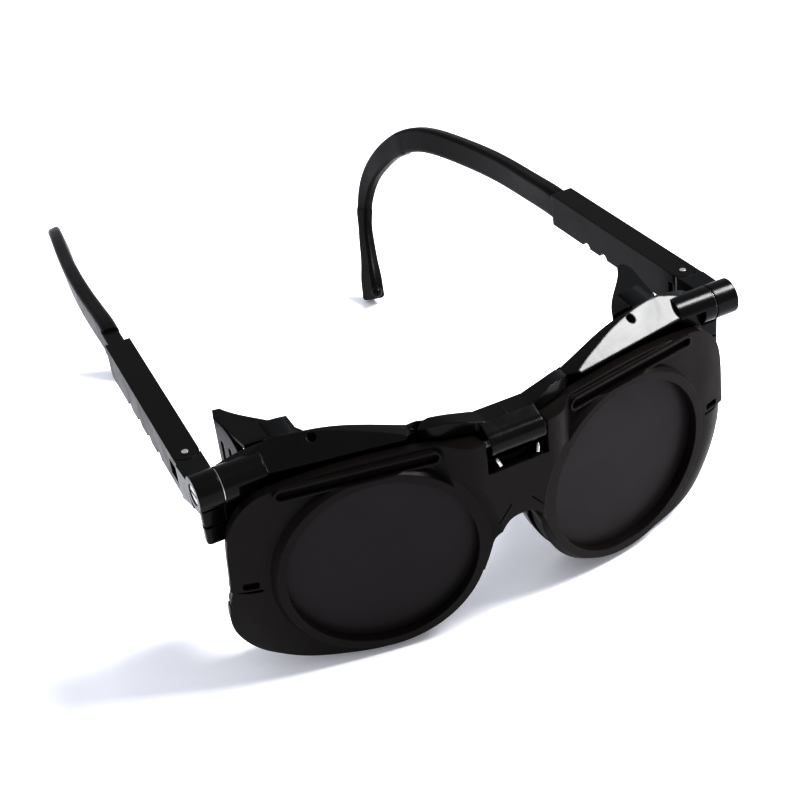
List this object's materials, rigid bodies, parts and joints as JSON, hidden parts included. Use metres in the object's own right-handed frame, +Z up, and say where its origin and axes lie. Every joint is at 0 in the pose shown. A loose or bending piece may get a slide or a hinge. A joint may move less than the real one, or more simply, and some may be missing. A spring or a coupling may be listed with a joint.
{
  "type": "welding goggles",
  "caption": "Flip-front welding goggles: a spectacle frame with round lenses, a hinged front with dark round filters, side shields, and tilting, folding, extending temples.",
  "frame": {"origin": "the middle of the bounding box's underside, on the surface that the goggles stand on", "axes": "+X to the wearer's left, +Y back along the temples, +Z up"},
  "size_m": [0.1488, 0.2257, 0.0707],
  "materials": {
    "gloss_black_frame": "high gloss",
    "satin_black_front": "fine satin",
    "black_temple": "moulded gloss",
    "dark_filter": "dark filter, low gloss",
    "clear_lens": "clear",
    "steel": "bright"
  },
  "bodies": {
    "frame": {"back_frame": "gloss_black_frame", "bridge_pin": "steel", "detent_spring": "steel", "clear_lens_left": "clear_lens", "clear_lens_right": "clear_lens", "rim_screw_left": "steel", "rim_screw_right": "steel", "side_shield_left": "gloss_black_frame", "side_shield_right": "gloss_black_frame", "tilt_screw_left": "steel", "tilt_screw_right": "steel", "tilt_washer_left": "steel", "tilt_washer_right": "steel"},
    "front": {"flip_front": "satin_black_front", "dark_lens_left": "dark_filter", "dark_lens_right": "dark_filter"},
    "tilt_left": {"tilt_block_left": "gloss_black_frame", "fold_pin_left": "steel"},
    "sleeve_left": {"temple_sleeve_left": "black_temple"},
    "arm_left": {"temple_arm_left": "black_temple"},
    "tilt_right": {"tilt_block_right": "gloss_black_frame", "fold_pin_right": "steel"},
    "sleeve_right": {"temple_sleeve_right": "black_temple"},
    "arm_right": {"temple_arm_right": "black_temple"}
  },
  "joints": [
    {"name": "flip_front_hinge", "type": "hinge", "parent": "frame", "child": "front", "pos_m": [0, -0.10966, 0.05632], "axis": [-1, 0, 0], "range_deg": [0, 95]},
    {"name": "tilt_left_hinge", "type": "hinge", "parent": "frame", "child": "tilt_left", "pos_m": [0.071, -0.09141, 0.0604], "axis": [1, 0, 0], "range_deg": [-10, 10]},
    {"name": "fold_left_hinge", "type": "hinge", "parent": "tilt_left", "child": "sleeve_left", "pos_m": [0.0705, -0.07621, 0.05867], "axis": [0, -0.0837, 0.9965], "range_deg": [0, 24]},
    {"name": "length_left_slide", "type": "slide", "parent": "sleeve_left", "child": "arm_left", "axis": [-0.0384, 0.9958, 0.0836], "range_m": [0, 0.0255]},
    {"name": "tilt_right_hinge", "type": "hinge", "parent": "frame", "child": "tilt_right", "pos_m": [-0.071, -0.09141, 0.0604], "axis": [-1, 0, 0], "range_deg": [-10, 10]},
    {"name": "fold_right_hinge", "type": "hinge", "parent": "tilt_right", "child": "sleeve_right", "pos_m": [-0.0705, -0.07621, 0.05867], "axis": [0, 0.0837, -0.9965], "range_deg": [0, 24]},
    {"name": "length_right_slide", "type": "slide", "parent": "sleeve_right", "child": "arm_right", "axis": [0.0384, 0.9958, 0.0836], "range_m": [-0.0085, 0.017]}
  ]
}
